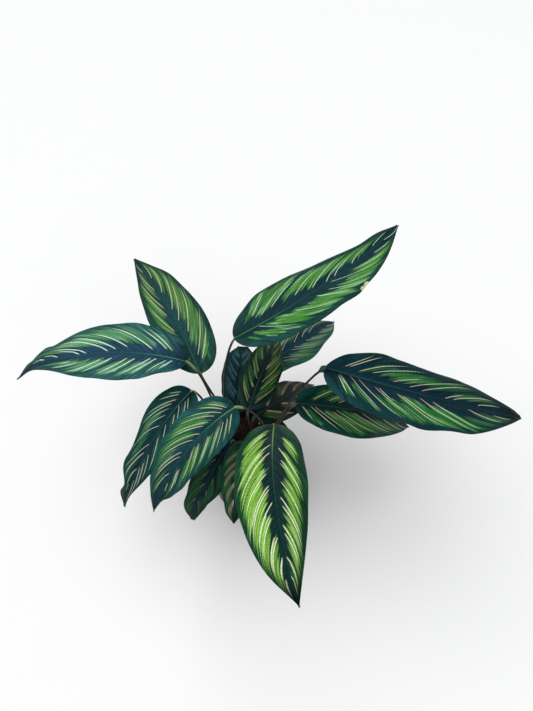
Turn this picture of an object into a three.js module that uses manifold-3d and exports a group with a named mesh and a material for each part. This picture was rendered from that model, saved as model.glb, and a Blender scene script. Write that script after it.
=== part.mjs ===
// Potted beauty star calathea: fourteen patterned blades on thin leafstalks,
// which stand in a plain round nursery pot filled with potting mix.
// Millimetres, +Z up, origin at the centre of the pot's underside.
// The plant's front faces -Y, and +X is to the right of it.

import * as THREE from 'three';
import { mergeVertices } from 'three/addons/utils/BufferGeometryUtils.js';
import Module from 'manifold-3d';

const wasm = await Module();
wasm.setup();

const FIT_GAP = 0.3;            // clearance between pieces that touch

// Pot
const POT_HEIGHT = 84;
const POT_BASE_RADIUS = 37;
const POT_MOUTH_RADIUS = 46.5;  // outside of the wall, just under the rim band
const RIM_RADIUS = 49;
const RIM_BAND = 12;            // height of the thicker band round the mouth
const POT_WALL = 1.6;
const POT_FLOOR = 2.4;
const POT_SEGMENTS = 48;
const DRAIN_HOLES = 6;
const DRAIN_RADIUS = 4;
const DRAIN_CIRCLE = 25;

// Potting mix
const SOIL_TOP = 76;
const SOIL_LUMP = 1.6;          // height of the lumps in its surface
const SOIL_RINGS = 7;
const SOIL_SECTORS = 36;

// Blades
const BLADE_THICKNESS = 0.8;
const BLADE_FOLD = 14;          // degrees that each half rises beside the midrib
const BLADE_CURL = 26;          // degrees that it bends back down by the margin
const BLADE_ROWS = 20;
const BASE_HALF_WIDTH = 1.2;    // where the blade meets its stalk
const TIP_HALF_WIDTH = 0.5;
const KEEL_DEPTH = 1.4;         // midrib standing out below, at the base
const KEEL_HALF_WIDTH = 1.5;
const MIDRIB_GROOVE = 0.25;
const MARGIN_WAVES = 4.5;       // waves along each margin

// Stalks
const STALK_SINK = 12;          // length that stands in the mix
const STALK_SIDES = 8;
const STALK_RINGS = 12;
const STALK_FOOT_RADIUS = 2.7;  // sheathing foot
const STALK_RADIUS = 1.15;
const PULVINUS_RADIUS = 1.55;   // swollen joint under the blade
const PULVINUS_DROP = 0.35;     // how steeply it leaves the blade, as a share of its length

// Each leaf: where its blade starts, the compass heading and rise of its midrib there, how far
// the midrib droops and sweeps sideways by the tip, how the blade is rolled about it and twisted,
// its length and full width, the place of its widest point (share of the length), the fineness of
// its taper, how much wider its right half is, the height of its margin waves, and its stalk's
// foot, sideways bow and pulvinus length. Angles are degrees, counter-clockwise from +X.
const LEAVES = [
  { start: [-52, 29, 187], heading: 174, rise: 17, droop: 51, sweep: 11, roll: 9, twist: 4,
    length: 175, width: 58, widest: 0.39, taper: 1.4, lean: 0.06, wave: 2,
    foot: [-14, -1], bow: [-10, -6], pulvinus: 18 },
  { start: [-42, 28, 170], heading: 116, rise: 24, droop: 27, sweep: 9, roll: 6, twist: 3,
    length: 159, width: 53, widest: 0.38, taper: 1.2, lean: 0.04, wave: 1,
    foot: [-13, 14], bow: [-4, -1], pulvinus: 8 },
  { start: [-8, 31, 217], heading: 24, rise: 15, droop: 8, sweep: 24, roll: 4, twist: 9,
    length: 197, width: 67, widest: 0.4, taper: 1.1, lean: 0, wave: 1.4,
    foot: [-19, 21], bow: [-14, 6], pulvinus: 8 },
  { start: [16, 67, 124], heading: 46, rise: 7, droop: 34, sweep: 3, roll: -5, twist: -3,
    length: 133, width: 46, widest: 0.46, taper: 1.2, lean: 0.01, wave: 1.2,
    foot: [8, 26], bow: [0, 0], pulvinus: 10 },
  { start: [-10, 19, 118], heading: 85, rise: 34, droop: 36, sweep: 2, roll: -2, twist: 0,
    length: 83, width: 28, widest: 0.41, taper: 1.2, lean: 0, wave: 0.8,
    foot: [-3, 4], bow: [2, 5], pulvinus: 10 },
  { start: [3, -1, 153], heading: 73, rise: 12, droop: 37, sweep: 1, roll: -8, twist: -1,
    length: 109, width: 37, widest: 0.42, taper: 1.2, lean: 0.05, wave: 0.9,
    foot: [7, 3], bow: [1, 0], pulvinus: 10 },
  { start: [9, 15, 118], heading: 44, rise: -13, droop: 28, sweep: 11, roll: -16, twist: 0,
    length: 118, width: 42, widest: 0.39, taper: 1.3, lean: 0.04, wave: 1,
    foot: [8, 12], bow: [0, 0], pulvinus: 10 },
  { start: [72, 14, 197], heading: -18, rise: -4, droop: 18, sweep: 21, roll: -3, twist: 2,
    length: 191, width: 66, widest: 0.43, taper: 1, lean: 0.06, wave: 1.8,
    foot: [18, -10], bow: [0, 0], pulvinus: 5 },
  { start: [49, 16, 138], heading: 3, rise: -9, droop: 37, sweep: 8, roll: -15, twist: -3,
    length: 148, width: 52, widest: 0.42, taper: 1.2, lean: 0.07, wave: 1.2,
    foot: [23, 6], bow: [4, -6], pulvinus: 10 },
  { start: [27, -37, 184], heading: -96, rise: 25, droop: 27, sweep: 22, roll: -4, twist: -3,
    length: 157, width: 54, widest: 0.45, taper: 1.1, lean: 0.07, wave: 1.2,
    foot: [10, -16], bow: [0, 0], pulvinus: 10 },
  { start: [-7, -10, 171], heading: -141, rise: 4, droop: 71, sweep: 11, roll: 21, twist: 1,
    length: 129, width: 47, widest: 0.34, taper: 1.2, lean: 0.05, wave: 1.4,
    foot: [18, 0], bow: [12, -4], pulvinus: 14 },
  { start: [-50, 16, 160], heading: -128, rise: -3, droop: 61, sweep: 3, roll: 3, twist: -5,
    length: 133, width: 44, widest: 0.31, taper: 1.3, lean: 0.01, wave: 2,
    foot: [-20, -7], bow: [0, 0], pulvinus: 10 },
  { start: [-14, -10, 111], heading: -124, rise: -14, droop: 57, sweep: -3, roll: 16, twist: 5,
    length: 95, width: 33, widest: 0.46, taper: 1.1, lean: 0.03, wave: 0.8,
    foot: [-11, -12], bow: [0, 0], pulvinus: 10 },
  { start: [1, -13, 115], heading: -103, rise: 12, droop: 35, sweep: 13, roll: 5, twist: 0,
    length: 81, width: 31, widest: 0.47, taper: 1, lean: 0.09, wave: 0.8,
    foot: [-2, -8], bow: [0, 0], pulvinus: 10 },
];

const material = (name, color, roughness) =>
  new THREE.MeshStandardMaterial({ name, color, roughness, metalness: 0 });

const BLADE_MATERIAL = material('leaf blade', 0x2f6a3f, 0.42);
const STALK_MATERIAL = material('leafstalk', 0x3b2f24, 0.5);
const POT_MATERIAL = material('black nursery pot', 0x1b1c1d, 0.55);
const SOIL_MATERIAL = material('potting mix', 0x2c211a, 0.95);

const part = new THREE.Group();
part.name = 'potted_calathea';

function addPiece(name, geometry, pieceMaterial) {
  const mesh = new THREE.Mesh(geometry, pieceMaterial.clone());
  mesh.name = name;
  part.add(mesh);
}

// A closed geometry from a list of points and a list of triangles.
function closedGeometry(points, triangles) {
  const geometry = new THREE.BufferGeometry();
  const positions = points.flatMap((p) => [p.x, p.y, p.z]);
  geometry.setAttribute('position', new THREE.Float32BufferAttribute(positions, 3));
  geometry.setIndex(triangles);
  geometry.computeVertexNormals();
  return geometry;
}

function toSolid(geometry) {
  const bare = geometry.clone();
  bare.deleteAttribute('normal');
  bare.deleteAttribute('uv');
  const merged = mergeVertices(bare, 1e-4);
  return new wasm.Manifold(new wasm.Mesh({
    numProp: 3,
    vertProperties: Float32Array.from(merged.attributes.position.array),
    triVerts: Uint32Array.from(merged.index.array),
  }));
}

function fromSolid(solid) {
  const mesh = solid.getMesh();
  const geometry = new THREE.BufferGeometry();
  geometry.setAttribute('position', new THREE.BufferAttribute(mesh.vertProperties, 3));
  geometry.setIndex(new THREE.BufferAttribute(mesh.triVerts, 1));
  geometry.computeVertexNormals();
  return geometry;
}

// An upright round cutter that stands on z = bottom.
function uprightCutter(radius, height, sides, x, y, bottom) {
  const cutter = new THREE.CylinderGeometry(radius, radius, height, sides);
  cutter.rotateX(Math.PI / 2);
  cutter.translate(x, y, bottom + height / 2);
  return toSolid(cutter);
}

// A solid of revolution about Z from a closed outline of [radius, height] points.
function turned(outline, segments) {
  const profile = outline.map(([r, z]) => new THREE.Vector2(r, z));
  const lathe = new THREE.LatheGeometry(profile, segments);
  lathe.rotateX(Math.PI / 2);
  return toSolid(lathe);
}

// Pot: a thin tapered wall with a thicker rim band, and drain holes round its floor.
function wallRadius(z) {
  return POT_BASE_RADIUS + (POT_MOUTH_RADIUS - POT_BASE_RADIUS) * (z / POT_HEIGHT);
}

function potSolid() {
  const bandFoot = POT_HEIGHT - RIM_BAND;
  const outline = [
    [0, 0],
    [POT_BASE_RADIUS - 1.5, 0],
    [POT_BASE_RADIUS, 1.5],
    [wallRadius(bandFoot), bandFoot],
    [RIM_RADIUS - 0.7, bandFoot],
    [RIM_RADIUS, bandFoot + 0.8],
    [RIM_RADIUS, POT_HEIGHT - 1],
    [RIM_RADIUS - 0.8, POT_HEIGHT],
    [wallRadius(POT_HEIGHT) - POT_WALL + 0.6, POT_HEIGHT],
    [wallRadius(POT_HEIGHT) - POT_WALL, POT_HEIGHT - 0.8],
    [wallRadius(POT_FLOOR) - POT_WALL, POT_FLOOR],
    [0, POT_FLOOR],
  ];
  let pot = turned(outline, POT_SEGMENTS);
  for (let i = 0; i < DRAIN_HOLES; i += 1) {
    const angle = (2 * Math.PI * (i + 0.5)) / DRAIN_HOLES;
    const x = DRAIN_CIRCLE * Math.cos(angle);
    const y = DRAIN_CIRCLE * Math.sin(angle);
    pot = pot.subtract(uprightCutter(DRAIN_RADIUS, POT_FLOOR + 2, 12, x, y, -1));
  }
  return pot;
}

// Potting mix: it fills the pot, has a lumpy top, and a plain hole for each stalk.
function soilTop(x, y) {
  const coarse = Math.sin(0.21 * x + 0.7) * Math.cos(0.17 * y - 0.4);
  const fine = Math.sin(0.53 * x - 0.31 * y) * Math.cos(0.47 * y + 0.29 * x + 1.1);
  return SOIL_TOP + SOIL_LUMP * (0.6 * coarse + 0.4 * fine);
}

function soilSolid() {
  const floorZ = POT_FLOOR + FIT_GAP;
  const inset = POT_WALL + FIT_GAP + 0.1;
  const points = [new THREE.Vector3(0, 0, soilTop(0, 0)), new THREE.Vector3(0, 0, floorZ)];
  const triangles = [];
  const rim = wallRadius(SOIL_TOP) - inset;
  const ringStart = (ring) => 2 + ring * SOIL_SECTORS;
  for (let ring = 0; ring <= SOIL_RINGS; ring += 1) {
    const isFloor = ring === SOIL_RINGS;
    const radius = isFloor ? wallRadius(floorZ) - inset : rim * ((ring + 1) / SOIL_RINGS);
    for (let sector = 0; sector < SOIL_SECTORS; sector += 1) {
      const angle = (2 * Math.PI * sector) / SOIL_SECTORS;
      const x = radius * Math.cos(angle);
      const y = radius * Math.sin(angle);
      points.push(new THREE.Vector3(x, y, isFloor ? floorZ : soilTop(x, y)));
    }
  }
  for (let sector = 0; sector < SOIL_SECTORS; sector += 1) {
    const next = (sector + 1) % SOIL_SECTORS;
    triangles.push(0, ringStart(0) + sector, ringStart(0) + next);
    triangles.push(1, ringStart(SOIL_RINGS) + next, ringStart(SOIL_RINGS) + sector);
    for (let ring = 0; ring < SOIL_RINGS; ring += 1) {
      const inner = ringStart(ring);
      const outer = ringStart(ring + 1);
      triangles.push(inner + sector, outer + sector, outer + next);
      triangles.push(inner + sector, outer + next, inner + next);
    }
  }
  let soil = toSolid(closedGeometry(points, triangles));
  const holeFloor = SOIL_TOP - STALK_SINK - FIT_GAP;
  const holeRadius = (STALK_FOOT_RADIUS + FIT_GAP) / Math.cos(Math.PI / 12);
  for (const leaf of LEAVES) {
    const [x, y] = leaf.foot;
    soil = soil.subtract(uprightCutter(holeRadius, 2 * STALK_SINK, 12, x, y, holeFloor));
  }
  return soil;
}

// The midrib of a leaf at a share t of its length: its direction, and the side and upward
// directions of the blade there.
function midribFrame(leaf, t) {
  const heading = THREE.MathUtils.degToRad(leaf.heading + leaf.sweep * t);
  const rise = THREE.MathUtils.degToRad(leaf.rise - leaf.droop * t);
  const roll = THREE.MathUtils.degToRad(leaf.roll + leaf.twist * t);
  const along = new THREE.Vector3(
    Math.cos(rise) * Math.cos(heading),
    Math.cos(rise) * Math.sin(heading),
    Math.sin(rise),
  );
  const level = new THREE.Vector3(Math.sin(heading), -Math.cos(heading), 0);
  const upright = new THREE.Vector3().crossVectors(level, along);
  const side = level.clone().multiplyScalar(Math.cos(roll)).addScaledVector(upright, Math.sin(roll));
  const up = upright.multiplyScalar(Math.cos(roll)).addScaledVector(level, -Math.sin(roll));
  return { along, side, up };
}

// Rows stand closer together towards both ends, where the outline turns fastest.
function rowShare(row) {
  const even = row / BLADE_ROWS;
  return 0.5 * even + 0.25 * (1 - Math.cos(Math.PI * even));
}

function midribPoints(leaf) {
  const steps = 12;
  const points = [new THREE.Vector3(...leaf.start)];
  for (let row = 1; row <= BLADE_ROWS; row += 1) {
    const from = rowShare(row - 1);
    const step = (rowShare(row) - from) / steps;
    const point = points[row - 1].clone();
    for (let i = 0; i < steps; i += 1) {
      const { along } = midribFrame(leaf, from + (i + 0.5) * step);
      point.addScaledVector(along, step * leaf.length);
    }
    points.push(point);
  }
  return points;
}

// Half the blade's width at t: round at the base, drawn out to a point at the tip.
function halfWidth(leaf, t) {
  const beforeWidest = Math.max(0, 1 - t / leaf.widest);
  const pastWidest = Math.max(0, (t - leaf.widest) / (1 - leaf.widest));
  const rounded = Math.pow(1 - Math.pow(beforeWidest, 3), 0.48);
  const tapered = Math.pow(1 - Math.pow(pastWidest, 1.9), leaf.taper);
  const least = THREE.MathUtils.lerp(BASE_HALF_WIDTH, TIP_HALF_WIDTH, t);
  return Math.max(least, rounded * tapered * leaf.width / 2);
}

// A blade is one thin sheet with seven lines of points along it: both margins, the middle of
// each half, both edges of the keel, and the midrib.
function bladeGeometry(leaf) {
  const fold = THREE.MathUtils.degToRad(BLADE_FOLD);
  const curl = THREE.MathUtils.degToRad(BLADE_CURL);
  const points = midribPoints(leaf);
  const upper = [];
  const lower = [];
  for (let row = 0; row <= BLADE_ROWS; row += 1) {
    const t = rowShare(row);
    const { side, up } = midribFrame(leaf, t);
    const width = halfWidth(leaf, t);
    const keelEdge = Math.min(KEEL_HALF_WIDTH, 0.45 * width) / width;
    const middle = (1 + keelEdge) / 2;
    const waveHeight = leaf.wave * Math.sin(Math.PI * Math.min(1, 1.15 * t));
    for (const across of [-1, -middle, -keelEdge, 0, keelEdge, middle, 1]) {
      const hand = Math.sign(across);
      const reach = Math.abs(across);
      const halfShare = 1 + hand * leaf.lean;
      const bend = fold - curl * reach;
      const out = (Math.sin(fold) - Math.sin(bend)) / curl;
      const lift = (Math.cos(bend) - Math.cos(fold)) / curl;
      const turn = 2 * Math.PI * MARGIN_WAVES * t + leaf.heading + 2 * hand;
      const wave = waveHeight * reach * reach * Math.sin(turn);
      const outward = up.clone().multiplyScalar(Math.cos(bend));
      outward.addScaledVector(side, -hand * Math.sin(bend));
      if (hand === 0) {
        outward.copy(up);
      }
      const centre = points[row].clone();
      centre.addScaledVector(side, hand * out * width * halfShare);
      centre.addScaledVector(up, lift * width * halfShare);
      centre.addScaledVector(outward, wave);
      const keel = hand === 0 ? KEEL_DEPTH * (1 - 0.85 * t) : 0;
      const groove = hand === 0 ? MIDRIB_GROOVE : 0;
      upper.push(centre.clone().addScaledVector(outward, BLADE_THICKNESS / 2 - groove));
      lower.push(centre.clone().addScaledVector(outward, -BLADE_THICKNESS / 2 - keel));
    }
  }
  return sheetGeometry(upper, lower, BLADE_ROWS, 6);
}

// Closes two like grids of points into one sheet: both faces are split alike, and the border
// between them is walled.
function sheetGeometry(upper, lower, rows, columns) {
  const stride = columns + 1;
  const below = upper.length;
  const triangles = [];
  const wall = (a, b) => triangles.push(a, a + below, b + below, a, b + below, b);
  for (let row = 0; row < rows; row += 1) {
    for (let column = 0; column < columns; column += 1) {
      const a = row * stride + column;
      const b = a + 1;
      const c = b + stride;
      const d = a + stride;
      triangles.push(a, b, c, a, c, d);
      triangles.push(a + below, c + below, b + below, a + below, d + below, c + below);
    }
    wall((row + 1) * stride, row * stride);
    wall(row * stride + columns, (row + 1) * stride + columns);
  }
  for (let column = 0; column < columns; column += 1) {
    wall(column, column + 1);
    wall(rows * stride + column + 1, rows * stride + column);
  }
  return closedGeometry([...upper, ...lower], triangles);
}

// A stalk stands upright in the mix, leans out in one long curve and turns into its blade at
// the pulvinus.
function stalkGeometry(leaf) {
  const { along, side } = midribFrame(leaf, 0);
  const footTop = new THREE.Vector3(leaf.foot[0], leaf.foot[1], SOIL_TOP + 1);
  const end = new THREE.Vector3(...leaf.start).addScaledVector(along, -FIT_GAP);
  const rising = footTop.clone();
  rising.add(new THREE.Vector3(leaf.bow[0], leaf.bow[1], 0.5 * (end.z - footTop.z)));
  const arriving = end.clone().addScaledVector(along, -leaf.pulvinus);
  arriving.z -= PULVINUS_DROP * leaf.pulvinus;
  const curve = new THREE.CubicBezierCurve3(footTop, rising, arriving, end);

  const rings = [{
    centre: new THREE.Vector3(footTop.x, footTop.y, SOIL_TOP - STALK_SINK),
    direction: new THREE.Vector3(0, 0, 1),
    radius: STALK_FOOT_RADIUS,
  }];
  for (let ring = 0; ring <= STALK_RINGS; ring += 1) {
    const s = ring / STALK_RINGS;
    rings.push({ centre: curve.getPointAt(s), direction: curve.getTangentAt(s), radius: stalkRadius(s) });
  }
  rings[rings.length - 1].direction.copy(along);

  const points = [];
  for (const { centre, direction, radius } of rings) {
    const across = side.clone().addScaledVector(direction, -side.dot(direction)).normalize();
    const over = new THREE.Vector3().crossVectors(direction, across);
    for (let i = 0; i < STALK_SIDES; i += 1) {
      const angle = (2 * Math.PI * i) / STALK_SIDES;
      const point = centre.clone();
      point.addScaledVector(across, radius * Math.cos(angle));
      point.addScaledVector(over, radius * Math.sin(angle));
      points.push(point);
    }
  }
  const triangles = [];
  const last = (rings.length - 1) * STALK_SIDES;
  for (let i = 0; i < STALK_SIDES; i += 1) {
    const next = (i + 1) % STALK_SIDES;
    for (let ring = 0; ring < rings.length - 1; ring += 1) {
      const low = ring * STALK_SIDES;
      const high = low + STALK_SIDES;
      triangles.push(low + i, low + next, high + next, low + i, high + next, high + i);
    }
    if (i > 0 && i < STALK_SIDES - 1) {
      triangles.push(0, next, i, last, last + i, last + next);
    }
  }
  return closedGeometry(points, triangles);
}

// Sheathing foot, slender middle, swollen pulvinus.
function stalkRadius(s) {
  const foot = (STALK_FOOT_RADIUS - STALK_RADIUS) * Math.pow(Math.max(0, 1 - s / 0.45), 1.5);
  const swell = (PULVINUS_RADIUS - STALK_RADIUS) * THREE.MathUtils.smoothstep(s, 0.86, 0.95);
  return STALK_RADIUS + foot + swell;
}

addPiece('pot', fromSolid(potSolid()), POT_MATERIAL);
addPiece('soil', fromSolid(soilSolid()), SOIL_MATERIAL);
LEAVES.forEach((leaf, index) => {
  const number = String(index + 1).padStart(2, '0');
  addPiece(`stalk_${number}`, stalkGeometry(leaf), STALK_MATERIAL);
  addPiece(`leaf_${number}`, bladeGeometry(leaf), BLADE_MATERIAL);
});

export default part;
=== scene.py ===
import math
import random

import bpy
import numpy as np
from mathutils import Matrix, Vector, noise


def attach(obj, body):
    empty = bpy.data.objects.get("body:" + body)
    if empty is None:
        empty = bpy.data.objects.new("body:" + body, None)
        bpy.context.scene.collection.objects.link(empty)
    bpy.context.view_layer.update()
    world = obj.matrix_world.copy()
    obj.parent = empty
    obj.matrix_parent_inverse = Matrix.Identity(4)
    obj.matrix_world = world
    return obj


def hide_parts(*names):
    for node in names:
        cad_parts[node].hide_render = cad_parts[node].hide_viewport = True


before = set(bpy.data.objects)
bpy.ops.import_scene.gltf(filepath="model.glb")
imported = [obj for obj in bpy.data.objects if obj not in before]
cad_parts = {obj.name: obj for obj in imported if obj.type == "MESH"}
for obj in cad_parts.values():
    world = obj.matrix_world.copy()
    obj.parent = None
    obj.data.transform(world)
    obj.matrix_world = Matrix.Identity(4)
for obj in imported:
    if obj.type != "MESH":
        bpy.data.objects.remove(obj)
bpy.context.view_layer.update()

# Potted beauty star calathea, from the pot up: nursery pot, potting mix, leafstalks, blades,
# and last the room that it is seen in. Metres, +Z up, the plant's front faces -Y.
MM = 0.001


# Nursery pot: a plain growers' pot, injection moulded in black polypropylene, with a rim band
# and six drain holes. One disc is drawn up into the wall, over the lip and down the inside,
# its edges are rounded, and the holes are cut through its floor.
POT_OUTLINE = [(35.5, 0), (37, 1.5), (39.0, 18), (45.14, 72), (48.3, 72), (49, 72.8), (49, 83.1),
               (48.4, 84), (45.5, 84), (44.9, 83.2), (35.67, 2.4)]
POT_SIDES = 128
POT_EDGE, POT_EDGE_ANGLE = 0.35, math.radians(35)
DRAIN_HOLES, DRAIN_CIRCLE, DRAIN_RADIUS = 6, 25, 4
POT_DUST_HEIGHT = 22
POT_BLACK, POT_SCUFF, POT_DUST = "#1b1c1d", "#3a3a39", "#4a3f34"

# Settings that many nodes share: an eased range, a mix of two colours, one colour times another,
# and the product and the difference of two numbers.
EASED, COLOURS = {"interpolation_type": "SMOOTHSTEP"}, {"data_type": "RGBA"}
TINTED = {"data_type": "RGBA", "blend_type": "MULTIPLY"}
TIMES, MINUS = {"operation": "MULTIPLY"}, {"operation": "SUBTRACT"}


def linear_colour(hex_text):
    """The linear colour that a socket takes, from an sRGB hex value."""
    channels = [int(hex_text[i:i + 2], 16) / 255 for i in (1, 3, 5)]
    return [c / 12.92 if c <= 0.04045 else ((c + 0.055) / 1.055) ** 2.4 for c in channels] + [1.0]


def add_node(material, kind, settings, *in_order, **by_name):
    """Adds one shader node with its settings, and gives its inputs, the ones in use in their order
    or any by its name, a value, a colour or a link. A node given there stands for its output."""
    node = material.node_tree.nodes.new("ShaderNode" + kind)
    for name, value in settings.items():
        setattr(node, name, value)
    given = list(zip((socket for socket in node.inputs if socket.enabled), in_order))
    given += [(node.inputs[name], value) for name, value in by_name.items()]
    for socket, value in given:
        if isinstance(value, bpy.types.Node):
            value = next(output for output in value.outputs if output.enabled)
        if isinstance(value, bpy.types.NodeSocket):
            material.node_tree.links.new(value, socket)
        else:
            socket.default_value = linear_colour(value) if isinstance(value, str) else value
    return node


def new_finish(name):
    """An empty material, to be filled with nodes and closed by its shader."""
    finish = bpy.data.materials.new(name)
    finish.use_nodes = True
    finish.node_tree.nodes.clear()
    return finish


def close_finish(finish, sockets):
    """Adds the finish's shader, with these inputs, and joins it to the output."""
    add_node(finish, "OutputMaterial", {}, add_node(finish, "BsdfPrincipled", {}, **sockets))


def pick_only(piece):
    """Selects one piece alone, for the operators that act on all that is selected."""
    bpy.ops.object.select_all(action="DESELECT")
    piece.select_set(True)
    bpy.context.view_layer.objects.active = piece


def join_all(pieces):
    pick_only(pieces[-1])
    for piece in pieces:
        piece.select_set(True)
    bpy.ops.object.join()
    return bpy.context.object


def add_and_apply(piece, kind, **settings):
    pick_only(piece)
    modifier = piece.modifiers.new(kind.lower(), kind)
    for name, value in settings.items():
        setattr(modifier, name, value)
    bpy.ops.object.modifier_apply(modifier=modifier.name)


bpy.ops.object.select_all(action="DESELECT")
bpy.ops.mesh.primitive_circle_add(vertices=POT_SIDES, radius=POT_OUTLINE[0][0] * MM, fill_type="NGON")
pot = bpy.context.object
pot.name = "nursery_pot"
bpy.ops.object.mode_set(mode="EDIT")
bpy.ops.mesh.select_all(action="SELECT")
for (last_radius, last_height), (radius, height) in zip(POT_OUTLINE, POT_OUTLINE[1:]):
    bpy.ops.mesh.extrude_region_move(TRANSFORM_OT_translate={"value": (0, 0, (height - last_height) * MM)})
    share = radius / last_radius
    bpy.ops.transform.resize(value=(share, share, 1), center_override=(0, 0, height * MM))
bpy.ops.mesh.select_all(action="SELECT")
bpy.ops.mesh.normals_make_consistent(inside=False)
bpy.ops.object.mode_set(mode="OBJECT")
add_and_apply(pot, "BEVEL", width=POT_EDGE * MM, segments=3, limit_method="ANGLE", angle_limit=POT_EDGE_ANGLE)

drills = []
for hole in range(DRAIN_HOLES):
    angle = 2 * math.pi * (hole + 0.5) / DRAIN_HOLES
    at = (DRAIN_CIRCLE * math.cos(angle) * MM, DRAIN_CIRCLE * math.sin(angle) * MM, 0)
    bpy.ops.mesh.primitive_cylinder_add(vertices=32, radius=DRAIN_RADIUS * MM, depth=12 * MM, location=at)
    drills.append(bpy.context.object)
drill = join_all(drills)
add_and_apply(pot, "BOOLEAN", operation="DIFFERENCE", object=drill, solver="EXACT")
bpy.data.objects.remove(drill)
pick_only(pot)
bpy.ops.object.shade_smooth_by_angle(angle=POT_EDGE_ANGLE)

# Moulded polypropylene: a soft, slightly waxy black with the 0.4 mm grain of a spark-eroded
# mould, scuffed paler in 11 mm patches and dusted with dry peat near the foot.
plastic = new_finish("black_polypropylene")
where = add_node(plastic, "TexCoord", {}).outputs["Object"]
height = add_node(plastic, "SeparateXYZ", {}, where).outputs["Z"]
scuffs = add_node(plastic, "TexNoise", {}, Vector=where, Scale=90.0, Detail=6.0, Roughness=0.7)
scuffed = add_node(plastic, "MapRange", EASED, scuffs, 0.56, 0.75, 0.0, 0.8)
black = add_node(plastic, "Mix", COLOURS, scuffed, POT_BLACK, POT_SCUFF)
low = add_node(plastic, "MapRange", {}, height, POT_DUST_HEIGHT * MM, 0.0)
peat = add_node(plastic, "TexNoise", {}, Vector=where, Scale=350.0, Detail=4.0)
dusted = add_node(plastic, "Math", TIMES, low, peat)
dusty = add_node(plastic, "Mix", COLOURS, dusted, black, POT_DUST)
matte = add_node(plastic, "MapRange", {}, scuffs, 0.3, 0.7, 0.42, 0.6)
spark = add_node(plastic, "TexNoise", {}, Vector=where, Scale=2500.0)
skin = add_node(plastic, "Bump", {}, Strength=0.25, Distance=0.0001, Height=spark)
close_finish(plastic, {"Base Color": dusty, "Roughness": matte, "IOR": 1.49, "Normal": skin})
pot.data.materials.clear()
pot.data.materials.append(plastic)
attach(pot, "root")
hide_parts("pot")


# Potting mix: peat and composted bark that fill the pot to 8 mm below its lip. It is one sheet
# rolled round the pot's axis, over its lumpy top, down the wall and across the floor.
SOIL_TOP, SOIL_LUMP, SOIL_FLOOR = 76, 1.6, 2.7
SOIL_RADIUS, SOIL_FLOOR_RADIUS = 43.6, 35.2
SOIL_GRAIN = 2.6
TOP_SHARE, WALL_SHARE, SOIL_GRID = 0.8, 0.9, (180, 96)
PEAT_DARK, PEAT_BROWN, FIBRE = "#15100c", "#35261b", "#6a5138"


def mesh_numbers(items, name, each, kind=float):
    """What a mesh says of each point, corner or face: one number, or rows of several."""
    numbers = np.zeros(len(items) * each, kind)
    items.foreach_get(name, numbers)
    return numbers.reshape(-1, each) if each > 1 else numbers


def grid_sheet(name, columns, rows):
    """A flat grid to be bent into shape, and its points' places across and along, from -1 to 1."""
    bpy.ops.object.select_all(action="DESELECT")
    bpy.ops.mesh.primitive_grid_add(x_subdivisions=columns, y_subdivisions=rows, size=2)
    sheet = bpy.context.object
    sheet.name = name
    across, along, _ = mesh_numbers(sheet.data.vertices, "co", 3).T
    return sheet, across, along


def bend_sheet(sheet, points):
    sheet.data.vertices.foreach_set("co", (points * MM).ravel())
    sheet.data.update()


def close_roll(sheet):
    """Joins the edges of a rolled sheet and closes its ends."""
    pick_only(sheet)
    bpy.ops.object.mode_set(mode="EDIT")
    bpy.ops.mesh.select_all(action="SELECT")
    bpy.ops.mesh.remove_doubles(threshold=1e-6)
    bpy.ops.mesh.fill_holes(sides=0)
    bpy.ops.mesh.select_all(action="SELECT")
    bpy.ops.mesh.normals_make_consistent(inside=False)
    bpy.ops.object.mode_set(mode="OBJECT")
    bpy.ops.object.shade_smooth()


def soil_height(x, y):
    coarse = math.sin(0.21 * x + 0.7) * math.cos(0.17 * y - 0.4)
    fine = math.sin(0.53 * x - 0.31 * y) * math.cos(0.47 * y + 0.29 * x + 1.1)
    crumbs = noise.fractal(Vector((x, y, 3.0)) / SOIL_GRAIN, 1.0, 2.0, 4)
    return SOIL_TOP + SOIL_LUMP * (0.6 * coarse + 0.4 * fine) + 0.9 * crumbs


soil, turn, down = grid_sheet("potting_mix_bed", *SOIL_GRID)
share = (down + 1) / 2
radius = np.interp(share, (TOP_SHARE, WALL_SHARE, 1), (SOIL_RADIUS, SOIL_FLOOR_RADIUS, 0))
radius *= 1 - np.maximum(0, 1 - share / TOP_SHARE) ** 1.1
x, y = radius * np.cos(math.pi * turn), radius * np.sin(math.pi * turn)
height = np.interp(share, (TOP_SHARE, WALL_SHARE), (SOIL_TOP - 1, SOIL_FLOOR))
top = share < TOP_SHARE
height[top] = [soil_height(*place) for place in zip(x[top], y[top])]
bend_sheet(soil, np.stack([x, y, height], -1))
close_roll(soil)

# Damp peat: near-black crumbs of about 2.6 mm with paler fibres, without any gloss.
mix = new_finish("peat_and_bark")
where = add_node(mix, "TexCoord", {}).outputs["Object"]
crumbs = add_node(mix, "TexVoronoi", {}, Vector=where, Scale=1000 / SOIL_GRAIN)
clods = add_node(mix, "TexNoise", {}, Vector=where, Scale=160.0, Detail=8.0, Roughness=0.75)
brown = add_node(mix, "Mix", COLOURS, clods, PEAT_DARK, PEAT_BROWN)
threads = add_node(mix, "TexNoise", {}, Vector=where, Scale=700.0, Detail=3.0, Distortion=3.0)
thready = add_node(mix, "MapRange", EASED, threads, 0.62, 0.7, 0.0, 0.7)
fibrous = add_node(mix, "Mix", COLOURS, thready, brown, FIBRE)
rough_top = add_node(mix, "Math", {"operation": "MULTIPLY_ADD"}, crumbs, 0.5, clods)
crumbly = add_node(mix, "Bump", {}, Strength=0.8, Distance=0.0012, Height=rough_top)
close_finish(mix, {"Base Color": fibrous, "Roughness": 0.95, "IOR": 1.4, "Normal": crumbly})
soil.data.materials.append(mix)
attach(soil, "root")
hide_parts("soil")


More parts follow.
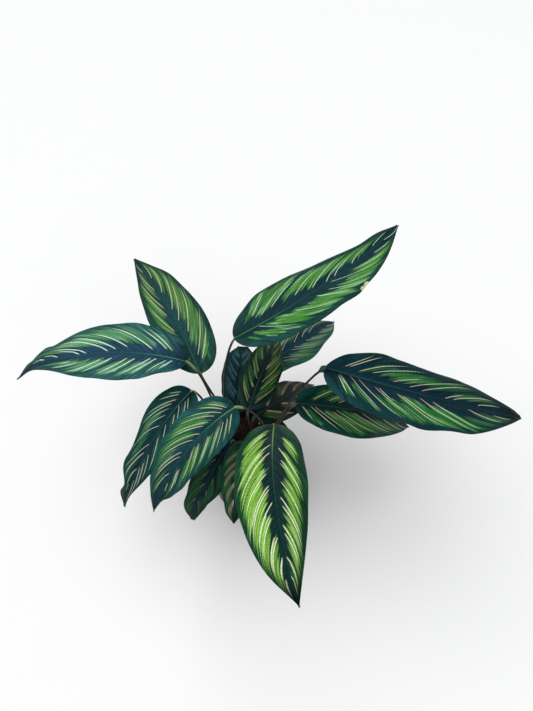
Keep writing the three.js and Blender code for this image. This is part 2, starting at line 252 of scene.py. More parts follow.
# Loose grains on the mix: white expanded perlite and brown bark chips. Each kind is shaped once
# from a small ball, and its copies are turned, strewn and pressed into the top. A kind has its
# count, its shape and range of sizes in millimetres, its colour and its roughness.
GRAIN_CLEARANCE, GRAIN_TILT = 3, 0.4
GRAIN_KINDS = [("perlite_grains", 46, (1.3, 1.1, 1.0), (0.8, 1.7), "#d9d5cb", 0.9),
               ("bark_chips", 70, (2.6, 1.3, 0.6), (0.8, 1.7), "#4a3020", 0.85)]
strew = random.Random(11)
for name, count, shape, sizes, colour, roughness in GRAIN_KINDS:
    bpy.ops.object.select_all(action="DESELECT")
    bpy.ops.mesh.primitive_ico_sphere_add(subdivisions=2, radius=MM)
    first = bpy.context.object
    for vertex in first.data.vertices:
        vertex.co *= 1 + 0.35 * noise.noise(vertex.co * 1400 + Vector((count, 0, 0)))
        vertex.co = Vector(c * s for c, s in zip(vertex.co, shape))
    grains = []
    for index in range(count):
        grain = first.copy()
        grain.data = first.data.copy()
        bpy.context.collection.objects.link(grain)
        angle = strew.uniform(0, 2 * math.pi)
        radius = (SOIL_RADIUS - GRAIN_CLEARANCE) * math.sqrt(strew.random())
        x, y = radius * math.cos(angle), radius * math.sin(angle)
        size = strew.uniform(*sizes)
        grain.scale = (size, size, size)
        tilt = (strew.uniform(-GRAIN_TILT, GRAIN_TILT), strew.uniform(-GRAIN_TILT, GRAIN_TILT))
        grain.rotation_euler = (*tilt, strew.uniform(0, 6.3))
        grain.location = (x * MM, y * MM, (soil_height(x, y) + 0.3 * size) * MM)
        grains.append(grain)
    bpy.data.objects.remove(first)
    strewn = join_all(grains)
    strewn.name = name
    bpy.ops.object.transform_apply(location=True, rotation=True, scale=True)
    bpy.ops.object.shade_smooth()

    # Expanded glass is chalky and pitted, bark is dull, with darker layers.
    grit = new_finish(name + "_finish")
    where = add_node(grit, "TexCoord", {}).outputs["Object"]
    pits = add_node(grit, "TexNoise", {}, Vector=where, Scale=900.0, Detail=5.0)
    shade = add_node(grit, "MapRange", {}, pits, 0.3, 0.7, 0.45)
    pitted = add_node(grit, "Mix", TINTED, 1.0, colour, shade)
    rugged = add_node(grit, "Bump", {}, Strength=0.7, Distance=0.0004, Height=pits)
    close_finish(grit, {"Base Color": pitted, "Roughness": roughness, "Normal": rugged})
    strewn.data.materials.clear()
    strewn.data.materials.append(grit)
    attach(strewn, "root")


# Leafstalks: each leaf's petiole, from its sheathing foot in the mix, up a slender stem, to the
# swollen joint under the blade that turns the leaf by day and night. Each is a sheet rolled
# round the stalk's curve.

# How each leaf stands: where its blade starts, the heading and rise of its midrib, how far that
# droops and sweeps, the blade's roll and twist, the stalk's foot and bow, and the length of the
# joint, in millimetres and degrees.
LEAF_STANDS = {
    "01": ((-52, 29, 187), 174, 17, 51, 11, 9, 4, (-14, -1), (-10, -6), 18),
    "02": ((-42, 28, 170), 116, 24, 27, 9, 6, 3, (-13, 14), (-4, -1), 8),
    "03": ((-8, 31, 217), 24, 15, 8, 24, 4, 9, (-19, 21), (-8, 6), 8),
    "04": ((16, 67, 124), 46, 7, 34, 3, -5, -3, (8, 26), (0, 0), 10),
    "05": ((-10, 19, 118), 85, 34, 36, 2, -2, 0, (-3, 4), (2, 5), 10),
    "06": ((3, -1, 153), 73, 12, 37, 1, -8, -1, (7, 3), (1, 0), 10),
    "07": ((9, 15, 118), 44, -13, 28, 11, -16, 0, (8, 12), (0, 0), 10),
    "08": ((72, 14, 197), -18, -4, 18, 21, -3, 2, (18, -10), (0, 0), 8),
    "09": ((49, 16, 138), 3, -9, 37, 8, -15, -3, (23, 6), (4, -6), 10),
    "10": ((27, -37, 184), -96, 25, 27, 22, -4, -3, (10, -16), (0, 0), 10),
    "11": ((-7, -10, 171), -141, 4, 71, 11, 21, 1, (18, 0), (12, -4), 14),
    "12": ((-50, 16, 160), -128, -3, 61, 3, 3, -5, (-20, -7), (0, 0), 10),
    "13": ((-14, -10, 111), -124, -14, 57, -3, 16, 5, (-11, -12), (0, 0), 10),
    "14": ((1, -13, 115), -103, 12, 35, 13, 5, 0, (-2, -8), (0, 0), 10),
}
STALK_SINK, FOOT_RADIUS, STALK_RADIUS, STALK_INTO_BLADE = 12, 2.7, 1.05, 2.0
SHEATH_SHARE, GROOVE_SPREAD, STREAK_LENGTH, STALK_GRID = 0.45, 0.42, 26, (14, 72)
SHEATH_BROWN, STEM_DARK, STEM_TAN = "#3c2f24", "#130f0c", "#3c2f25"
JOINT_DARK, JOINT_GREEN = "#12382f", "#8fa25c"

# The radius of each joint, and how far it has turned green.
JOINTS = {"01": (1.4, 0.6), "02": (1.3, 0.4), "03": (1.1, 0.3), "04": (1.3, 0.1), "05": (1.2, 0.1),
          "06": (1.2, 0.1), "07": (1.3, 0.1), "08": (3.2, 0.0), "09": (1.3, 0.1), "10": (1.4, 0.2),
          "11": (1.4, 0.9), "12": (1.3, 0.8), "13": (1.2, 0.2), "14": (1.2, 0.2)}


def midrib_frame(stand, share):
    """The directions along the midrib, to its side and up from it, at shares of its length."""
    heading, rise, droop, sweep, roll, twist = stand[1:7]
    share = np.atleast_1d(share)
    h, r, o = (np.radians(a) for a in (heading + sweep * share, rise - droop * share, roll + twist * share))
    along = np.stack([np.cos(r) * np.cos(h), np.cos(r) * np.sin(h), np.sin(r)], -1)
    level = np.stack([np.sin(h), -np.cos(h), 0 * h], -1)
    upright = np.cross(level, along)
    side = level * np.cos(o)[:, None] + upright * np.sin(o)[:, None]
    up = upright * np.cos(o)[:, None] - level * np.sin(o)[:, None]
    return along, side, up


def smooth_step(value, low, high):
    share = np.clip((value - low) / (high - low), 0, 1)
    return share * share * (3 - 2 * share)


def keep_on_points(piece, name, *numbers):
    """Stores three numbers for each point, for a finish to read."""
    kept = piece.data.attributes.new(name, "FLOAT_VECTOR", "POINT")
    rows = np.stack(np.broadcast_arrays(*numbers), -1)
    kept.data.foreach_set("vector", rows.astype(np.float32).ravel())


def on_curve(places, marks, points):
    """The points at these places along a curve, whose own points lie at these marks."""
    return np.stack([np.interp(places, marks, points[:, axis]) for axis in range(3)], -1)


def bezier_points(controls, shares):
    s = shares[:, None]
    a, b, c, d = (np.array(p, float) for p in controls)
    return (1 - s) ** 3 * a + 3 * (1 - s) ** 2 * s * b + 3 * (1 - s) * s ** 2 * c + s ** 3 * d


# Petiole skin: smooth, nearly black brown with tan streaks along it, green-brown in the sheath,
# and light green and a little velvety on the joint.
petiole = new_finish("petiole_skin")
kept = []
for name in ("stalk", "joint"):
    stored = add_node(petiole, "Attribute", {"attribute_name": name}).outputs["Vector"]
    kept.append(add_node(petiole, "SeparateXYZ", {}, stored).outputs)
(climb, turned, along_it), (swollen, greened, _) = kept
streak_place = add_node(petiole, "CombineXYZ", {}, turned, along_it)
streaks = add_node(petiole, "TexNoise", {}, Vector=streak_place, Scale=1.0, Detail=4.0)
streaky = add_node(petiole, "MapRange", EASED, streaks, 0.45, 0.72, 0.0, 0.75)
stem = add_node(petiole, "Mix", COLOURS, streaky, STEM_DARK, STEM_TAN)
in_sheath = add_node(petiole, "MapRange", EASED, climb, 0.35, 0.1, 0.0, 0.7)
sheathed = add_node(petiole, "Mix", COLOURS, in_sheath, stem, SHEATH_BROWN)
joint_colour = add_node(petiole, "Mix", COLOURS, greened, JOINT_DARK, JOINT_GREEN)
petiole_colour = add_node(petiole, "Mix", COLOURS, swollen, sheathed, joint_colour)
ribbed = add_node(petiole, "Bump", {}, Strength=0.4, Distance=0.0002, Height=streaks)
close_finish(petiole, {"Base Color": petiole_colour, "Roughness": 0.48, "IOR": 1.42, "Normal": ribbed})

for number, stand in LEAF_STANDS.items():
    start, (foot, (bow_x, bow_y), joint) = np.array(stand[0], float), stand[7:]
    joint_radius, greened = JOINTS[number]
    along, side, _ = (direction[0] for direction in midrib_frame(stand, 0.0))
    foot = np.array([*foot, SOIL_TOP + 1.0])
    end = start + along * STALK_INTO_BLADE
    arrive = start - along * joint - np.array([0, 0, 0.35 * joint])
    rising = foot + np.array([bow_x, bow_y, 0.5 * (end[2] - foot[2])])
    fine = bezier_points([foot, rising, arrive, end], np.linspace(0, 1, 400))
    run = np.concatenate([[0], np.cumsum(np.linalg.norm(np.diff(fine, axis=0), axis=1))])
    stalk, around, up_stalk = grid_sheet("leafstalk_" + number, *STALK_GRID)
    run_here = (up_stalk + 1) / 2 * (run[-1] + STALK_SINK) - STALK_SINK
    centre = on_curve(run_here, run, fine)
    centre[:, 2] += np.minimum(run_here, 0)
    heading = on_curve(run_here, run, np.gradient(fine, axis=0))
    heading /= np.linalg.norm(heading, axis=1)[:, None]
    across = side - heading * (heading @ side)[:, None]
    across /= np.linalg.norm(across, axis=1)[:, None]
    over = np.cross(heading, across)
    share = np.clip(run_here / run[-1], 0, 1)
    footing = np.maximum(0, 1 - share / SHEATH_SHARE) ** 1.5
    to_blade = (1 - share) * run[-1]
    swell = smooth_step(-to_blade, -joint, -0.5 * joint)
    rounded = swell - 0.35 * smooth_step(-to_blade, -0.25 * joint, 0)
    radius = STALK_RADIUS + (FOOT_RADIUS - STALK_RADIUS) * footing + (joint_radius - STALK_RADIUS) * rounded
    angle = math.pi * around
    in_groove = np.exp(-((angle - math.pi / 2) / GROOVE_SPREAD) ** 2) * (angle > 0)
    groove = 1 - (0.34 * footing + 0.08) * in_groove
    ring = across * np.cos(angle)[:, None] + over * np.sin(angle)[:, None]
    bend_sheet(stalk, centre + ring * (radius * groove)[:, None])
    keep_on_points(stalk, "stalk", share, np.cos(angle) * 2.2 + int(number), run_here / STREAK_LENGTH)
    keep_on_points(stalk, "joint", swell, greened, 0)
    close_roll(stalk)
    stalk.data.materials.append(petiole)
    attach(stalk, "root")
    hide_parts("stalk_" + number)


# Blades: fourteen lance-shaped leaves, each one thin sheet bent along its midrib, raised in a
# shallow trough beside it and waved at its margin, then given its thickness, with a grooved
# midrib above and a keel below.

# Length, full width, place of the widest point, fineness of the taper, how much wider the right
# half is, and height of the margin waves on the right half and the left.
BLADE_SIZES = {
    "01": (175, 58, 0.39, 1.4, 0.06, (1.2, 0.6)), "02": (159, 53, 0.38, 1.2, 0.04, (0.8, 0.6)),
    "03": (197, 67, 0.40, 1.1, 0.00, (0.8, 0.3)), "04": (133, 46, 0.46, 1.2, 0.01, (0.8, 0.8)),
    "05": (75, 28, 0.47, 1.1, 0.00, (0.6, 0.6)), "06": (109, 37, 0.42, 1.2, 0.05, (0.8, 0.8)),
    "07": (118, 42, 0.39, 1.3, 0.04, (0.8, 0.8)), "08": (191, 66, 0.43, 1.0, 0.06, (1.4, 0.3)),
    "09": (148, 52, 0.42, 1.2, 0.07, (0.8, 0.8)), "10": (157, 54, 0.45, 1.1, 0.07, (0.7, 0.7)),
    "11": (129, 47, 0.34, 1.2, 0.05, (0.9, 0.9)), "12": (133, 44, 0.31, 1.3, 0.01, (1.0, 0.8)),
    "13": (95, 33, 0.46, 1.1, 0.03, (0.6, 0.6)), "14": (81, 31, 0.47, 1.0, 0.09, (0.6, 0.6)),
}
BLADE_THICKNESS, BLADE_FOLD, BLADE_CURL = 0.45, math.radians(14), math.radians(26)
BLADE_COLUMNS, ROW_SPACING = 60, 1.0
BASE_HALF_WIDTH, TIP_HALF_WIDTH, MARGIN_WAVES = 1.2, 0.5, 4.5
MIDRIB_GROOVE, KEEL_DEPTH, KEEL_HALF_WIDTH = 0.35, 1.1, 1.2
PLEAT_SPACING, PLEAT_HEIGHT = 3.4, 0.16
GROOVE_HALF_WIDTH, RIB_HALF_WIDTH, RIB_ENDS = 1.1, 0.75, 0.75
FLAT = ((0, 0), (100, 0))

# How the midrib of some blades sways to the right, and how each margin stands out from the plain
# lance shape, on the right half and then the left: crests and hollows, each in hundredths of the
# blade's length and a distance in millimetres.
MIDRIB_SWAYS = {
    "01": ((0, 0), (60, 0), (82, 4), (100, -3)),
    "12": ((0, 0), (60, 0), (88, 1), (100, 0)),
    "13": ((0, 0), (50, 0), (78, 2.8), (100, 0.5)),
}
MARGIN_CRESTS = {
    "01": (((0, 0), (22, 0), (35, 1.5), (50, -1), (60, 1), (73, -4), (80, 0), (87, -0.5),
            (93, 3), (100, 0.5)),
           ((0, -4), (12, -5), (25, 0.5), (36, 2), (50, 0), (70, -1.5), (82, -0.5), (90, -2), (100, 0))),
    "02": (((0, 2), (20, 1.5), (40, 1.5), (55, 0), (72, 2.5), (88, 1), (100, 1)),
           ((0, -4), (14, -1), (50, -1), (75, 0), (95, 1), (100, 1))),
    "03": (((0, 0), (44, 0), (55, 3), (60, 2), (67, 3), (100, 1)),
           ((0, -1), (8, -0.5), (22, 4), (63, -4.5), (76, -4.5), (92, 2.5), (100, 1))),
    "04": (((0, 0), (18, -2), (38, 3), (62, -0.5), (84, 2.5), (100, 0)), FLAT),
    "05": (((0, 0), (50, 0), (82, 8), (100, 6)), ((0, 0), (30, 3.5), (60, 5), (85, 8), (100, 5))),
    "06": (FLAT, ((0, 0), (65, 1), (88, 8), (100, 4.5))),
    "08": (((0, 0), (36, 0), (45, 2), (56, 0), (69, 3), (90, 1.5), (100, 1.5)),
           ((0, -4), (10, -0.5), (25, 3), (36, 0), (53, -2.5), (68, 1), (80, 2.5), (97, 4), (100, 2))),
    "09": (((0, 0.5), (10, -1), (22, 0), (40, 2), (62, 1), (88, 2), (100, 0)), FLAT),
    "10": (((0, 0), (60, 0.5), (84, 2.5), (100, 0)),
           ((0, 0), (45, 0), (60, -1), (72, -0.5), (100, 0))),
    "11": (FLAT, ((0, 0), (60, 0), (70, 2), (80, 1.5), (87, -1.5), (100, 0))),
    "12": (((0, 2.5), (10, 1), (18, 2), (35, -0.5), (51, -4.5), (69, 2),
            (82, -1), (91, 4.5), (100, 1.5)),
           ((0, 0), (70, 0), (88, -0.5), (100, 0))),
    "13": (((0, 0), (50, 0), (68, -1), (90, 4.5), (100, 2.5)),
           ((0, 0), (60, 0), (70, -0.5), (80, 1), (100, 1))),
    "14": (((0, 0), (60, 0), (76, -0.5), (90, 2), (100, 1)),
           ((0, 0), (60, 0), (82, 3), (92, 1.5), (100, 0))),
}

# The markings of each blade: the half width of its pinstripes in millimetres, the colours of its
# bands, middle, margin, pinstripes and the base of its midrib, and how pink its pinstripes start.
MARKINGS = {
    "01": (0.55, "#5a9860", "#1c3c50", "#24504e", "#ccead0", "#4e9068", 0.30),
    "02": (0.48, "#4c8636", "#173c3c", "#143c30", "#c8c6a4", "#3c7054", 0.55),
    "03": (0.40, "#4a8c2e", "#042a30", "#083630", "#cce4c8", "#4a9048", 0.22),
    "04": (0.50, "#508658", "#0c2c3e", "#2c6052", "#a4ac94", "#2e5c4a", 0.45),
    "05": (1.10, "#2a5046", "#03202c", "#07303a", "#34545c", "#1e443c", 0.05),
    # Leaf 06 lies under leaf 03: its colours are painted darker with the shade that falls on it there.
    "06": (0.40, "#265a10", "#000c06", "#061e0c", "#949468", "#1a3c20", 0.70),
    "07": (2.30, "#4a7028", "#000c08", "#06200e", "#9c8462", "#2a4c2a", 0.55),
    "08": (0.42, "#26722a", "#02202c", "#042c2e", "#c6d0b0", "#1e5248", 0.95),
    "09": (0.42, "#347830", "#002622", "#06382e", "#c2c4a4", "#1e4a40", 0.80),
    "10": (0.42, "#84bc3e", "#0c2824", "#0c381c", "#e6f2c6", "#7ea040", 0.45),
    "11": (0.40, "#3e7a36", "#10343a", "#164442", "#c0cca8", "#589058", 0.70),
    "12": (0.38, "#28643a", "#02262c", "#083830", "#c0ceb8", "#3c7454", 0.75),
    "13": (0.80, "#1f4c14", "#02141e", "#06240e", "#2c4e2c", "#143828", 0.20),
    "14": (2.00, "#2e6434", "#06281c", "#0e3824", "#746c4c", "#2a5640", 0.60),
}

# Shade painted beside the base of the midrib of some blades, on the right half and then the left:
# how far along it reaches, as a share, how far out in millimetres, and how dark.
PAINTED_BASE_SHADE = {
    "01": ((0.09, 15, 0.85), (0.10, 4, 0.4)), "03": ((0.12, 5, 0.4), (0.22, 10, 0.6)),
    "06": ((0.30, 8, 0.5), (0.30, 8, 0.5)), "08": ((0.24, 6, 0.9), (0.10, 5, 0.45)),
    "09": ((0.15, 8, 0.5), (0.15, 8, 0.5)), "10": ((0.12, 6, 0.4), (0.10, 6, 0.3)),
    "12": ((0.12, 5, 0.4), (0.12, 5, 0.4)),
}

# How dark each tip turns, and from where to where, and the small spots where the right margin
# has bleached: their places and lengths along it, and how far in they reach, as shares.
TIP_SHADE, TIP_DARKENS = 0.8, (0.84, 0.99)
TIP_SHADES = {"01": 0.6, "02": 0.5, "03": 0.1, "04": 0.0, "10": 0.9}
BLEACHED_SPOTS, SPOT_DEPTH = {"03": ((0.575, 0.012), (0.605, 0.014))}, 0.09

# Where each pinstripe starts and ends, on the right half and then the left half of a blade:
# along the midrib and out from it, both in hundredths of the way, at its start and at its end.
PINSTRIPES = {
    "01": (((9, 28, 23, 88), (12, 28, 27, 84), (19, 16, 44, 84), (32, 16, 52, 72), (38, 8, 67, 78),
            (42, 2, 71, 78), (54, 2, 78, 56), (58, 2, 77, 36), (71, 2, 86, 30), (80, 2, 90, 30)),
           ((8, 18, 14, 78), (11, 22, 21, 84), (16, 16, 29, 86), (19, 18, 35, 86), (27, 24, 42, 86),
            (31, 24, 48, 88), (39, 24, 56, 84), (45, 30, 67, 90), (58, 36, 74, 80), (62, 30, 78, 45))),
    "02": (((8, 34, 30, 88), (11, 20, 38, 88), (27, 20, 62, 92), (37, 8, 68, 76), (46, 8, 76, 78),
            (61, 8, 87, 70), (76, 10, 93, 50)),
           ((10, 17, 31, 89), (17, 23, 39, 89), (31, 22, 56, 78), (43, 20, 69, 74), (49, 16, 78, 82),
            (65, 14, 88, 74), (84, 22, 94, 70))),
    "03": (((12, 6, 26, 80), (31, 36, 49, 86), (41, 24, 53, 82), (47, 30, 61, 86), (51, 7, 78, 84),
            (63, 28, 82, 76), (77, 34, 89, 70), (87, 18, 99, 87)),
           ((12, 40, 23, 86), (16, 24, 35, 76), (22, 28, 43, 76), (34, 20, 57, 76), (43, 10, 66, 78),
            (50, 2, 70, 45), (55, 2, 72, 48), (66, 2, 86, 52), (81, 8, 94, 50))),
    "04": (((14, 14, 33, 80), (20, 16, 37, 76), (32, 11, 62, 92), (36, 9, 64, 90), (50, 17, 70, 78),
            (56, 22, 76, 80), (68, 24, 90, 91), (73, 23, 92, 85), (83, 10, 99, 88)),
           ((19, 10, 50, 80), (25, 10, 58, 80), (40, 8, 75, 85), (50, 8, 85, 90), (60, 8, 92, 90))),
    "05": (((23, 20, 45, 82), (28, 6, 49, 77), (46, 23, 68, 79), (54, 23, 80, 92), (68, 12, 90, 85),
            (81, 8, 98, 86)),
           ((22, 21, 41, 77), (26, 8, 51, 82), (44, 23, 68, 82), (51, 16, 73, 81), (65, 9, 84, 77),
            (80, 18, 98, 91))),
    "06": (((7, 32, 37, 100), (11, 32, 28, 100), (21, 26, 49, 90), (29, 20, 62, 83), (44, 13, 68, 80),
            (47, 14, 83, 56), (66, 21, 86, 84), (79, 7, 97, 89)),
           ((7, 22, 28, 85), (10, 12, 29, 85), (22, 18, 47, 82), (22, 10, 34, 74), (31, 8, 54, 76),
            (39, 15, 66, 90), (55, 22, 69, 70), (73, 20, 89, 78))),
    "07": (((13, 9, 36, 90), (32, 14, 63, 93), (54, 24, 77, 84), (73, 19, 91, 84)),
           ((17, 13, 36, 78), (40, 24, 67, 92), (57, 15, 79, 82), (76, 11, 96, 88))),
    "08": (((7, 18, 13, 80), (9, 20, 17, 80), (12, 2, 29, 90), (16, 5, 39, 95), (24, 18, 47, 90),
            (26, 18, 33, 50), (34, 20, 57, 90), (37, 23, 61, 90), (45, 15, 70, 92), (51, 18, 75, 90),
            (69, 18, 88, 76), (82, 30, 94, 66)),
           ((9, 30, 22, 90), (11, 32, 27, 90), (16, 22, 42, 88), (22, 25, 52, 85), (32, 15, 48, 52),
            (40, 10, 73, 93), (46, 8, 76, 84), (58, 5, 69, 38), (62, 6, 87, 72), (75, 8, 95, 46))),
    "09": (((4, 14, 10, 80), (10, 8, 32, 90), (13, 8, 41, 92), (25, 19, 50, 87), (28, 10, 65, 88),
            (42, 12, 78, 88), (49, 7, 83, 85), (68, 13, 90, 88), (82, 15, 98, 86)),
           ((12, 27, 32, 85), (23, 22, 48, 85), (30, 17, 57, 85), (43, 11, 73, 92), (51, 16, 71, 76),
            (62, 11, 86, 87), (75, 21, 94, 86))),
    "10": (((10, 24, 24, 76), (18, 4, 47, 86), (24, 6, 52, 84), (38, 16, 61, 88), (45, 12, 69, 84),
            (47, 12, 72, 88), (54, 8, 76, 80), (62, 18, 80, 80), (71, 22, 85, 74), (71, 12, 88, 78),
            (80, 14, 90, 58), (89, 34, 96, 70)),
           ((13, 36, 28, 82), (21, 20, 49, 82), (30, 26, 58, 88), (44, 22, 67, 82), (52, 14, 76, 80),
            (57, 18, 79, 84), (66, 10, 84, 70), (70, 12, 86, 70), (80, 2, 93, 58), (88, 2, 98, 38))),
    "11": (((6, 22, 16, 78), (9, 24, 22, 80), (11, 10, 33, 84), (16, 16, 39, 84), (24, 18, 46, 80),
            (26, 14, 47, 74), (31, 2, 57, 76), (37, 4, 63, 76), (48, 8, 70, 66), (51, 2, 76, 70),
            (65, 2, 86, 54)),
           ((6, 24, 18, 84), (10, 26, 24, 88), (14, 24, 32, 88), (18, 28, 41, 92), (27, 30, 49, 82),
            (28, 26, 45, 70), (36, 20, 58, 86), (42, 20, 66, 80), (58, 28, 71, 58), (59, 24, 81, 64),
            (72, 20, 87, 34))),
    "12": (((6, 42, 12, 76), (8, 34, 21, 82), (12, 22, 33, 84), (16, 24, 41, 88), (25, 14, 43, 62),
            (33, 8, 55, 100), (47, 2, 74, 84), (54, 4, 77, 76), (67, 2, 86, 48), (80, 18, 91, 32)),
           ((6, 20, 23, 85), (9, 17, 30, 85), (14, 2, 39, 85), (21, 15, 45, 85), (30, 12, 58, 85),
            (40, 17, 67, 85), (53, 22, 71, 82), (60, 22, 81, 85), (64, 12, 88, 87), (75, 22, 97, 85))),
    "13": (((15, 21, 35, 82), (24, 22, 49, 88), (40, 23, 64, 85), (51, 9, 81, 90), (70, 15, 92, 88)),
           ((17, 19, 36, 79), (27, 16, 52, 87), (43, 17, 71, 89), (57, 19, 76, 76), (72, 14, 92, 87))),
    "14": (((18, 18, 38, 87), (30, 14, 51, 80), (39, 8, 63, 81), (56, 9, 77, 77), (77, 13, 95, 85)),
           ((13, 10, 35, 91), (28, 13, 51, 81), (37, 8, 66, 90), (53, 7, 79, 86), (72, 16, 91, 82))),
}
# The bright bands of each blade, on the right half and then the left: the roots of the first and
# last vein, the reaches from which and to which it runs, all in hundredths, and its strength.
BANDS = {
    "01": (((3, 9, 35, 85, 50), (10, 17, 28, 88, 55), (17, 27, 30, 85, 90), (27, 34, 35, 85, 70),
            (34, 50, 25, 76, 90), (52, 66, 20, 70, 100), (69, 74, 20, 60, 60)),
           ((5, 10, 35, 80, 50), (12, 19, 30, 85, 75), (21, 29, 30, 86, 75), (32, 42, 28, 78, 90),
            (43, 60, 25, 62, 90))),
    "02": (((0, 10, 35, 85, 70), (10, 24, 20, 88, 80), (24, 37, 22, 88, 90), (37, 49, 20, 85, 90),
            (51, 70, 18, 78, 100), (74, 84, 25, 60, 50)),
           ((4, 16, 35, 85, 70), (18, 30, 28, 80, 80), (30, 47, 25, 80, 90), (50, 64, 22, 64, 100),
            (66, 76, 25, 60, 60))),
    "03": (((1, 3, 40, 75, 80), (4, 8, 24, 80, 90), (8, 11, 42, 85, 80), (12, 16, 15, 80, 100),
            (16, 22, 14, 86, 100), (22, 28, 22, 86, 100), (28, 38, 30, 88, 95), (38, 50, 42, 88, 90),
            (50, 59, 30, 90, 100), (60, 71, 40, 82, 60)),
           ((2, 8, 40, 95, 70), (8, 16, 25, 90, 90), (19, 28, 28, 76, 100), (28, 34, 22, 72, 100),
            (34, 46, 18, 70, 100), (47, 61, 14, 66, 90), (62, 73, 8, 52, 100), (79, 84, 15, 50, 60))),
    "04": (((8, 17, 42, 85, 70), (17, 27, 35, 85, 90), (28, 43, 24, 85, 70), (45, 60, 28, 80, 60),
            (62, 85, 20, 70, 50)),
           ((8, 22, 30, 88, 80), (24, 40, 26, 88, 80), (42, 56, 24, 88, 80), (58, 76, 26, 86, 70))),
    "05": (((12, 30, 30, 80, 40), (40, 55, 30, 75, 40)),
           ((10, 28, 30, 80, 50), (32, 50, 30, 75, 60))),
    "06": (((3, 7, 25, 90, 60), (8, 20, 24, 90, 90), (22, 42, 24, 82, 90), (44, 62, 18, 66, 90),
            (64, 90, 10, 52, 80)),
           ((3, 13, 20, 80, 60), (16, 26, 20, 80, 70), (28, 40, 20, 84, 80), (40, 54, 28, 86, 100),
            (60, 76, 20, 60, 50))),
    "07": (((2, 10, 20, 80, 60), (22, 38, 24, 80, 60), (44, 62, 20, 70, 50)),
           ((4, 18, 20, 85, 70), (24, 38, 20, 80, 70), (46, 64, 20, 70, 50))),
    "08": (((5, 7, 15, 75, 100), (9, 12, 30, 85, 60), (15, 27, 42, 88, 80), (27, 38, 25, 90, 100),
            (38, 49, 32, 90, 100), (50, 57, 48, 82, 60), (60, 72, 30, 84, 60)),
           ((11, 15, 20, 66, 50), (18, 37, 24, 66, 85), (38, 51, 26, 76, 50), (54, 68, 18, 60, 60))),
    "09": (((2, 6, 24, 82, 60), (13, 24, 18, 90, 90), (24, 40, 14, 82, 100), (40, 57, 28, 76, 80),
            (58, 80, 22, 62, 80)),
           ((4, 12, 28, 80, 70), (14, 26, 22, 80, 80), (30, 46, 24, 76, 80), (50, 66, 24, 70, 70))),
    "10": (((3, 8, 28, 82, 80), (8, 14, 22, 86, 80), (14, 21, 26, 87, 100), (21, 29, 24, 88, 100),
            (29, 35, 18, 90, 100), (35, 42, 22, 90, 100), (42, 52, 20, 88, 100), (52, 64, 20, 88, 100),
            (65, 74, 20, 88, 100), (74, 80, 26, 80, 80)),
           ((4, 11, 38, 80, 70), (14, 20, 32, 82, 80), (21, 29, 32, 80, 80), (31, 38, 32, 78, 80),
            (38, 47, 28, 78, 80), (48, 60, 26, 78, 80), (61, 75, 18, 70, 80), (76, 87, 18, 62, 70))),
    "11": (((1, 7, 24, 82, 50), (9, 14, 24, 88, 60), (15, 25, 18, 86, 100), (26, 37, 18, 82, 100),
            (38, 50, 25, 76, 50), (56, 67, 20, 62, 50)),
           ((3, 8, 25, 78, 50), (11, 15, 20, 86, 70), (17, 26, 24, 82, 100), (28, 42, 24, 80, 100),
            (50, 60, 20, 66, 50))),
    "12": (((1, 4, 48, 80, 50), (6, 12, 30, 82, 50), (14, 28, 32, 77, 100), (33, 43, 28, 72, 90),
            (48, 59, 20, 76, 50), (60, 73, 25, 66, 50)),
           ((4, 12, 20, 70, 40), (14, 22, 20, 70, 40), (26, 42, 20, 64, 40), (50, 61, 15, 62, 40))),
    "13": (((18, 34, 28, 78, 80), (36, 47, 22, 80, 80), (48, 62, 20, 82, 80), (64, 80, 15, 70, 60)),
           ((14, 30, 28, 78, 70), (34, 50, 22, 76, 70), (52, 70, 20, 72, 60))),
    "14": (((8, 24, 24, 84, 60), (28, 48, 22, 84, 60), (52, 70, 22, 80, 60), (74, 86, 18, 66, 50)),
           ((8, 24, 24, 84, 60), (28, 48, 22, 84, 60), (52, 70, 22, 80, 60))),
}
BAND_EDGE_GREEN, PINSTRIPE_PINK, MIDRIB_TEAL = "#1f5a2c", "#cc9c92", "#255648"
CUTICLE_BLUE, BLEACHED_YELLOW = "#84c4c8", "#e2dfa4"
UNDERSIDE_PLUM, UNDERSIDE_ROSE, KEEL_GREEN = "#4a1d2e", "#6e3447", "#7c8a55"
VEIN_SPACING = 1.7

# Every third pinstripe is kept under one name, so that a point between two of them knows both. A
# line starts and tapers over these shares of its length, and fades this many millimetres to its
# side. A band's edges are soft over these millimetres, across the blade and along it.
PINSTRIPE_SETS = ("first_pinstripes", "second_pinstripes", "third_pinstripes")
LINE_STARTS, LINE_TAPERS, LINE_FADES, SOFT_EDGE, FAR_BESIDE = 0.05, 0.4, (1.2, 1.7), 0.12, 15.0
BAND_SOFT_ACROSS, BAND_SOFT_ALONG = 4.5, 1.8
STRAIGHT, MOST_BEND = ((0, 1), (0, 0)), 0.18


def eased(share, chart):
    """The height at each share of a chart of crests and hollows, eased from one to the next."""
    places, heights = np.array(chart, float).T
    places = places / 100
    after = np.clip(np.searchsorted(places, share, side="right"), 1, len(places) - 1)
    step = smooth_step(share, places[after - 1], places[after])
    return heights[after - 1] + (heights[after] - heights[after - 1]) * step


def half_width(size, share):
    """Half the blade's width: round at the base, drawn out to a point at the tip."""
    _, width, widest, taper = size[:4]
    before = np.maximum(0, 1 - share / widest)
    past = np.maximum(0, (share - widest) / (1 - widest))
    outline = (1 - before ** 3) ** 0.48 * (1 - past ** 1.9) ** taper * width / 2
    return np.maximum(outline, BASE_HALF_WIDTH + (TIP_HALF_WIDTH - BASE_HALF_WIDTH) * share)


